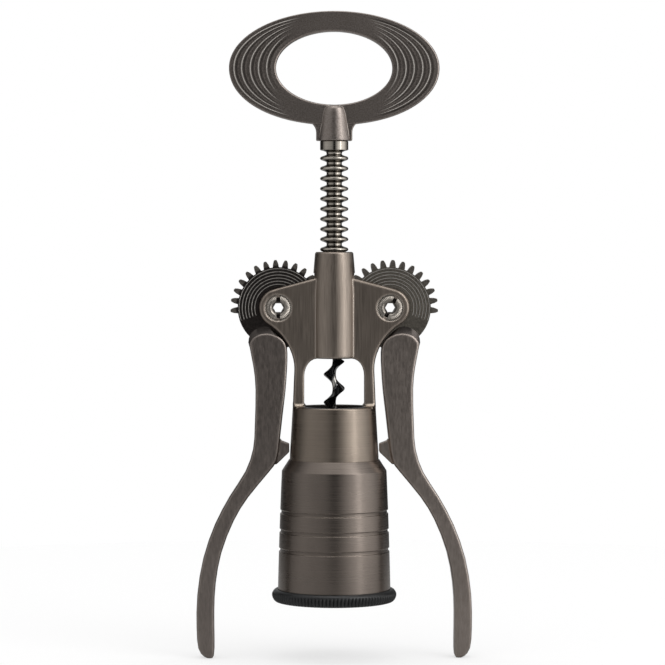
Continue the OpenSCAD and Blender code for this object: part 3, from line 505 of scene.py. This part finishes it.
def ring_shell(name, rings, segments, wear_and_light=None):
    """A closed shell: a circle extruded from ring to ring and back to the first. Each ring is a
    function that gives its point, in millimetres, at an angle. A list of functions of the angle can
    give each ring's wear and painted light, as a point attribute."""
    bpy.ops.object.select_all(action="DESELECT")
    bpy.ops.mesh.primitive_circle_add(vertices=segments, radius=1)
    piece = bpy.context.object
    piece.name = piece.data.name = name
    bpy.ops.object.mode_set(mode="EDIT")
    bpy.ops.mesh.select_all(action="SELECT")
    for _ in rings:
        bpy.ops.mesh.extrude_edges_move()
    bpy.ops.object.mode_set(mode="OBJECT")
    step = 2 * pi / segments
    marks = piece.data.attributes.new("wear_and_light", "FLOAT", "POINT").data if wear_and_light else None
    for vertex in piece.data.vertices:
        angle = round(atan2(vertex.co.y, vertex.co.x) / step) * step
        place = vertex.index // segments % len(rings)
        if wear_and_light:
            marks[vertex.index].value = wear_and_light[place](angle)
        vertex.co = [c * MM for c in rings[place](angle)]
    tighten()
    return piece


def lathe_ring(radius, height):
    return lambda a: (radius * cos(a), radius * sin(a), height)


def lathed(name, profile, segments):
    """A turned shell. Its profile lists radius, height, and the value of its attribute for wear and
    painted light.
    """
    return ring_shell(name, [lathe_ring(r, z) for r, z, _ in profile], segments,
                      [lambda a, w=w: w for _, _, w in profile])


# The rubber foot: a bead over a band of upright ribs, about 1.4 mm apart
RIBS = 104
RIB_DEPTH = 0.7
# Radius, height, and how deep the ribs are there
FOOT_PROFILE = [(16.5, 0, 0), (21.6, 0, 0), (22.3, 0.02, 0.2), (22.95, 0.2, 0.8), (23.5, 0.68, 1),
                (23.95, 1.4, 1), (24.2, 2.1, 1), (24.28, 2.8, 1), (24.2, 3.3, 0.9),
                (24.02, 3.72, 0.3), (23.9, 3.9, 0), (23.72, 4.2, 0), (23.4, 4.55, 0),
                (23.0, 4.82, 0), (22.5, 4.97, 0), (22.1, 4.98, 0), (21.98, 4.9, 0),
                (21.98, 4.2, 0), (19.72, 4.2, 0), (19.72, 1.98, 0), (16.5, 1.98, 0)]


def foot_ring(radius, height, ribbed):
    def point(angle):
        groove = ((1 - cos(RIBS * angle)) / 2) ** 2
        r = radius - ribbed * RIB_DEPTH * groove
        return r * cos(angle), r * sin(angle), height
    return point


foot = ring_shell("rubber_foot", [foot_ring(*line) for line in FOOT_PROFILE], RIBS * 4)
even_shading(foot, 50)
carried(foot, "bell_ring", rubber)

# The bell: a slightly bulging cone with three turned grooves, with painted shade along the upper
# edge of each and a painted highlight along the lower one
BELL_SEAT = 4.2
BELL_SHOULDER = 51.1
BELL_TOP = 55.4
LIP_SEAT = 40.5
BELL_GROOVES = (20.4, 27.8, 35.2)
# A groove's section, as height from its middle, depth, and painted light: highlight below, shade
# above
BELL_GROOVE = ((-0.9, 0, 0), (-0.8, 0, 0.6), (-0.6, 0.45, 0), (0.6, 0.45, -0.3), (0.8, 0, -0.3),
               (0.9, 0, 0))


def bell_radius(height):
    t = (height - BELL_SEAT) / (BELL_SHOULDER - BELL_SEAT)
    return 21.95 - 1.55 * t + 0.56 * t * (1 - t)


bell_profile = [(16.5, 2.0, 0), (19.7, 2.0, 0), (19.7, BELL_SEAT, 0)]
bell_profile += [(bell_radius(z), z, 0) for z in (BELL_SEAT, 8, 12, 16)]
bell_profile += [(bell_radius(groove + off) - sunk, groove + off, mark)
                 for groove in BELL_GROOVES for off, sunk, mark in BELL_GROOVE]
bell_profile += [(bell_radius(z), z, 0) for z in (39, 43, 47, 50.9)]
bell_profile += [(20.33, 51.2, 0), (17.75, 55.2, 0), (17.6, BELL_TOP, 0), (17.32, BELL_TOP, 0),
                 (17.32, LIP_SEAT, 0), (16.5, LIP_SEAT, 0)]
bell = lathed("bell_shell", bell_profile, 192)
even_shading(bell, 30)
carried(bell, "bell", shaded_bell_turned)

# The rack: rings with round noses on a narrow core, under a plain polished collar
RING_PITCH = 3.927
RING_TOP = 172.5
RING_COUNT = 18
# One ring's section, as radius, height from its middle, and painted light: shade on the flanks, a
# highlight on the nose
RING_SECTION = [(2.98, 1.68, 0.0), (3.04, 1.5, -0.3), (3.3, 1.34, -0.8), (3.75, 1.14, -0.85),
                (4.3, 0.94, -0.85), (4.8, 0.77, -0.8), (5.12, 0.62, -0.6), (5.34, 0.43, -0.3),
                (5.46, 0.24, 0.1), (5.5, 0.08, 0.3)]
RACK_FOOT = [(1.86, 103.42, 0), (4.4, 103.42, 0), (4.5, 103.52, 0), (4.5, 104.2, 0)]
# The collar's section, as radius, height and painted light: shade under it, highlights on its edges
RACK_COLLAR = [(3.0, 174.5, 0), (3.2, 174.95, -0.6), (4.1, 175.35, -1), (5.1, 175.58, -0.8),
               (5.46, 175.75, 0.3), (5.5, 175.95, 0), (5.5, 178.95, 0), (5.25, 179.2, 0.3),
               (4.12, 179.2, 0), (4.12, 178.75, 0), (2.62, 178.75, 0), (2.62, 175.65, 0),
               (1.86, 175.65, 0)]
ring_profile = []
for number in reversed(range(RING_COUNT)):
    middle = RING_TOP - number * RING_PITCH
    ring_profile += [(r, middle - h, w) for r, h, w in RING_SECTION]
    ring_profile += [(r, middle + h, w) for r, h, w in reversed(RING_SECTION)]
rack = lathed("rack_rings", RACK_FOOT + ring_profile[1:] + RACK_COLLAR, 96)
even_shading(rack, 40)
carried(rack, "rack_sleeve", black_nickel)

# The worm: a narrow core and one sharp fin with hollow flanks, wound right-handed
WORM_TIP = 41.5
WORM_TOP = 95.58
WORM_RISE = 10.9
WORM_CORE = 1.15
WORM_LEAN = 0.5         # the core winds a little to the fin's side of the axis
WORM_REACH = 4.1
WORM_PEAK = 94.0        # a height at which the fin points to the right
FIN_HALF_ANGLE = radians(80)
FIN_HOLLOW = 1.5        # a power above 1 hollows the flanks
POINT_LENGTH = 9        # over this height the worm grows from its point
SHANK_LENGTH = 3        # and over this one it shrinks to its shank
SHANK_RADIUS = 0.9
bpy.ops.object.select_all(action="DESELECT")
bpy.ops.mesh.primitive_circle_add(vertices=64, radius=1)
helix = bpy.context.object
helix.name = helix.data.name = "helix"
for vertex in helix.data.vertices:
    around = atan2(vertex.co.y, vertex.co.x)
    fin = max(0.0, 1 - abs(around) / FIN_HALF_ANGLE) ** FIN_HOLLOW
    core = WORM_LEAN * cos(around) + (WORM_CORE ** 2 - (WORM_LEAN * sin(around)) ** 2) ** 0.5
    r = core + (WORM_REACH - WORM_CORE - WORM_LEAN) * fin
    around += 2 * pi * (WORM_TIP - WORM_PEAK) / WORM_RISE
    vertex.co = (r * cos(around) * MM, r * sin(around) * MM, WORM_TIP * MM)
screw = helix.modifiers.new("winding", "SCREW")
screw.angle = 2 * pi * (WORM_TOP - WORM_TIP) / WORM_RISE
screw.screw_offset = (WORM_TOP - WORM_TIP) * MM
screw.steps = screw.render_steps = 240
screw.use_smooth_shade = True
bpy.ops.object.modifier_apply(modifier="winding")
tighten(fill=True)
marks = helix.data.attributes.new("wear_and_light", "FLOAT", "POINT").data
for vertex in helix.data.vertices:
    height = vertex.co.z / MM
    r = hypot(vertex.co.x, vertex.co.y) / MM
    # The coating is rubbed through on the side of the core away from the fin
    around = atan2(vertex.co.y, vertex.co.x) - 2 * pi * (height - WORM_PEAK) / WORM_RISE
    marks[vertex.index].value = min(1, max(0, -0.35 - cos(around)) / 0.3)
    grown = min(1, max(0, (height - WORM_TIP) / POINT_LENGTH))
    slim = min(1, (WORM_TOP - height) / SHANK_LENGTH + 0.35)
    slimmed = min(r, max(SHANK_RADIUS, r * slim)) * (0.12 + 0.88 * grown ** 0.8)
    vertex.co.x *= slimmed / r
    vertex.co.y *= slimmed / r
even_shading(helix, 45)
carried(helix, "worm", worm_coat)

# The pivot nuts: a slightly domed face with fine radial serrations, a painted highlight on the rim
# and two spanner notches. Only the face shows, and the barrel behind it is what a lever turns on.
NUT_SECTION = [(2.35, -3.7), (3.0, -4.3), (3.2, -4.35), (3.6, -4.33), (4.1, -4.2), (4.5, -4.02),
               (4.75, -3.88), (4.85, -3.8), (4.93, -4.1), (5.0, -4.3), (5.12, -4.3), (5.2, -4.22),
               (5.2, -3.5), (4.0, -3.5), (4.0, 3.2), (3.25, 3.2), (3.25, -3.3), (2.35, -3.3)]
SERRATIONS = 44
SERRATION_DEPTH = 0.1
NOTCH = (1.5 * MM, 1.5 * MM, 2.6 * MM)
NOTCH_REACH = 3.95      # from the pivot to a notch's middle
NOTCH_Y = -4.2


def nut_ring(side, radius, depth):
    tick = SERRATION_DEPTH if 3.3 < radius < 4.7 else 0.0
    return lambda a: (side * PIVOT_X + radius * cos(a), depth + tick * cos(SERRATIONS * a),
                      PIVOT_Z + radius * sin(a))


def nut_light_and_shade(radius, depth):
    """Painted light: a highlight on the outer rim, shade in the groove inside it and round the
    hole, and the face darkened, most on its left, and darker and lighter by turns over the
    serrations.
    """
    if radius > 4.95:
        return lambda a: 0.45 if depth < -4.2 else 0.0
    if radius > 4.8:
        return lambda a: -0.6
    if radius < 3.1:
        return lambda a: -0.5
    return lambda a: -0.32 + 0.28 * cos(a) - 0.25 * cos(SERRATIONS * a)


for side, name, turn in ((-1, "left", 0.0), (1, "right", radians(28.0))):
    nut = ring_shell(name + "_nut", [nut_ring(side, r, y) for r, y in NUT_SECTION], 264,
                     [nut_light_and_shade(r, y) for r, y in NUT_SECTION])
    for end in (-1, 1):
        place = Vector((0, 0, end * NOTCH_REACH * MM))
        place.rotate(Euler((0, turn, 0)))
        place += Vector((side * PIVOT_X * MM, NOTCH_Y * MM, PIVOT_Z * MM))
        bpy.ops.object.select_all(action="DESELECT")
        bpy.ops.mesh.primitive_cube_add(size=1, location=place, rotation=(0, turn, 0), scale=NOTCH)
        cutter = bpy.context.object
        pick(nut)
        notch = nut.modifiers.new("notch", "BOOLEAN")
        notch.operation = "DIFFERENCE"
        notch.object = cutter
        bpy.ops.object.modifier_apply(modifier="notch")
        bpy.data.objects.remove(cutter)
    even_shading(nut, 35)
    carried(nut, name + "_pivot_nut", pivot_plate)

    def hidden(x, y, z, up):
        """In the hole, behind the face or inside a notch: the faces that get painted shade."""
        x, z = x - side * PIVOT_X, z - PIVOT_Z
        across = abs(x * cos(turn) - z * sin(turn))
        return hypot(x, z) < 2.36 or y > -3.6 or (across < 0.82 and y > -4.05
                                                  and hypot(x, z) < 5.19)

    # Painted shade in the nut's hole, behind its face and in its notches
    other_finish(nut, shaded_recess, hidden)

# The handle's ring. The ovals, as half width and half height, run from the outer edge through five
# crests to the finger hole, and the face between the crests lies 0.1 mm lower.
HANDLE_Z = 207.45       # the ring's middle
HANDLE_Y = 3.0          # half its thickness
OVALS = [(40.8, 22.0), (38.05, 20.2), (35.1, 19.55), (31.75, 18.8), (28.6, 18.1), (25.4, 17.4),
         (22.6, 14.2)]
OUTER = OVALS[0][0]
INNER = OVALS[-1][0]
CREST_SHIFT = -0.5      # the crests' ovals stand a little to the left of the ring's own
SHIFT_START = 1.5       # and reach that shift this far from the two edges
FULLNESS = 0.04         # the ring's lower half is fuller than an ellipse, most at its outer edge
# A rounded edge, as distance in from it and depth
EDGE = [(0.0, 0.65), (0.08, 0.38), (0.2, 0.18), (0.38, 0.05), (0.6, 0.0)]
# Distance to the right of a crest's middle, depth and painted light: its left shoulder gets a
# painted highlight, and its right one painted shade
WAVE = [(-1.3, 0.1, -0.35), (-0.95, 0.09, -0.35), (-0.65, 0.06, -0.4), (-0.42, 0.02, 0.8),
        (-0.16, 0.0, 0.75), (0.0, 0.0, -0.1), (0.16, 0.0, -0.4), (0.42, 0.02, -1.0),
        (0.65, 0.06, -1.0), (0.95, 0.09, -0.7), (1.3, 0.1, 0.1)]
# A crest dies out within this distance of the ring's middle, and so much further for each next one
# inwards, in the lower and upper halves
FADE_BELOW = (15, 1.2)
FADE_ABOVE = (11.5, 0.9)
FADE_LENGTH = 8


def oval_point(reach, angle, depth, front):
    """A point on the face of the ring where its oval's half width is reach."""
    for (x0, z0), (x1, z1) in zip(OVALS, OVALS[1:]):
        if reach >= x1:
            break
    height = z0 + (z1 - z0) * (x0 - reach) / (x0 - x1)
    c, s = cos(angle), sin(angle)
    power = 1 - FULLNESS * (reach - INNER) / (OUTER - INNER) if s < 0 else 1
    inset = min(1, (OUTER - reach) / SHIFT_START, (reach - INNER) / SHIFT_START)
    x = reach * abs(c) ** power * (1 if c > 0 else -1) + CREST_SHIFT * max(0, inset)
    z = height * abs(s) ** power * (1 if s > 0 else -1)
    return x, front * (HANDLE_Y - depth), HANDLE_Z + z


def crest_share(crest, angle):
    """How much of a crest is left at an angle, from 1 at the ring's sides to 0."""
    x = OVALS[1 + crest][0] * abs(cos(angle))
    start, step = FADE_BELOW if sin(angle) < 0 else FADE_ABOVE
    t = min(1, max(0, (x - start - step * crest) / FADE_LENGTH))
    return t * t * (3 - 2 * t)


def plain_ring(reach, depth, front):
    return lambda a: oval_point(reach, a, depth, front)


def crest_ring(reach, depth, front, crest):
    return lambda a: oval_point(reach, a, depth * crest_share(crest, a), front)


# Painted light on a crest, mirrored on the ring's right half so that the highlight stays on the
# left-facing shoulder
def crest_light_and_shade(left, right, crest):
    return lambda a: (left if cos(a) < 0 else right) * crest_share(crest, a)


rings, wear_and_light = [], []
for front in (-1, 1):
    face = [(plain_ring(OUTER - u, d, front), lambda a: 0.0) for u, d in EDGE]
    face += [(crest_ring(OVALS[1 + crest][0] - u, d, front, crest), crest_light_and_shade(left, right, crest))
             for crest in range(5) for (u, d, left), (_, _, right) in zip(WAVE, WAVE[::-1])]
    face += [(plain_ring(INNER + u, d, front), lambda a: 0.0) for u, d in reversed(EDGE)]
    # Inwards over the front, and outwards over the back
    for ring, mark in face[::-front]:
        rings.append(ring)
        wear_and_light.append(mark)
grip = ring_shell("ring_handle", rings, 240, wear_and_light)
even_shading(grip, 35)
carried(grip, "handle", handle_plate)

# The hub: a tapered boss, with a painted highlight along the line where it stands out of its web
HUB_Z = 179.3
BOSS_PROFILE = [(2.64, 0), (6.15, 0), (6.45, 0.12), (6.6, 0.5), (6.2, 3.5), (5.75, 7), (5.3, 10.4),
                (4.9, 12.1), (4.65, 12.75), (4.2, 13.3), (3.6, 13.68), (2.9, 13.88), (1.5, 13.9),
                (0, 13.9), (0, 9.62), (2.64, 9.62)]
HIGHLIGHT_LINE_Y = 2.95
HIGHLIGHT_LINE_WIDTH = 0.32


# A painted highlight along the boss's two sides
def boss_highlight(radius, height):
    if height <= 0.5:
        return lambda a: 0.0
    return lambda a: max(0.0, 1 - abs(radius * abs(sin(a)) - HIGHLIGHT_LINE_Y) / HIGHLIGHT_LINE_WIDTH)


boss = ring_shell("handle_boss", [lathe_ring(r, HUB_Z + z) for r, z in BOSS_PROFILE], 128,
                  [boss_highlight(r, z) for r, z in BOSS_PROFILE])
even_shading(boss, 40)
carried(boss, "handle", handle_plate)

# The web: a flat gusset with hollow sides, from the boss up to the ring
WEB_Y = 2.6             # half its thickness
WEB_FOOT = (7.0, 3.2)   # half its width at the hub, and how far up that goes
WEB_HOLLOW = 4.5        # the radius of its hollow sides
side_points = [(WEB_FOOT[0], 0), WEB_FOOT]
side_points += [(WEB_FOOT[0] + WEB_HOLLOW * (1 - cos(radians(a))),
                 WEB_FOOT[1] + WEB_HOLLOW * sin(radians(a))) for a in range(10, 91, 10)]
side_points += [(12.5, 8.1), (9.5, 9.5)]
outline = side_points + [(-x, z) for x, z in reversed(side_points)]
bpy.ops.object.select_all(action="DESELECT")
bpy.ops.mesh.primitive_circle_add(vertices=len(outline), radius=1, fill_type="NGON")
web = bpy.context.object
web.name = web.data.name = "handle_web"
for vertex, (x, z) in zip(web.data.vertices, outline):
    vertex.co = (x * MM, -WEB_Y * MM, (HUB_Z + z) * MM)
bpy.ops.object.mode_set(mode="EDIT")
bpy.ops.mesh.select_all(action="SELECT")
bpy.ops.mesh.extrude_region_move(TRANSFORM_OT_translate={"value": (0, 2 * WEB_Y * MM, 0)})
bpy.ops.object.mode_set(mode="OBJECT")
tighten()
rounding = web.modifiers.new("rounding", "BEVEL")
rounding.width = 0.5 * MM
rounding.segments = 3
rounding.limit_method = "ANGLE"
rounding.angle_limit = radians(50)
bpy.ops.object.modifier_apply(modifier="rounding")
even_shading(web, 35)
carried(web, "handle", handle_plate)
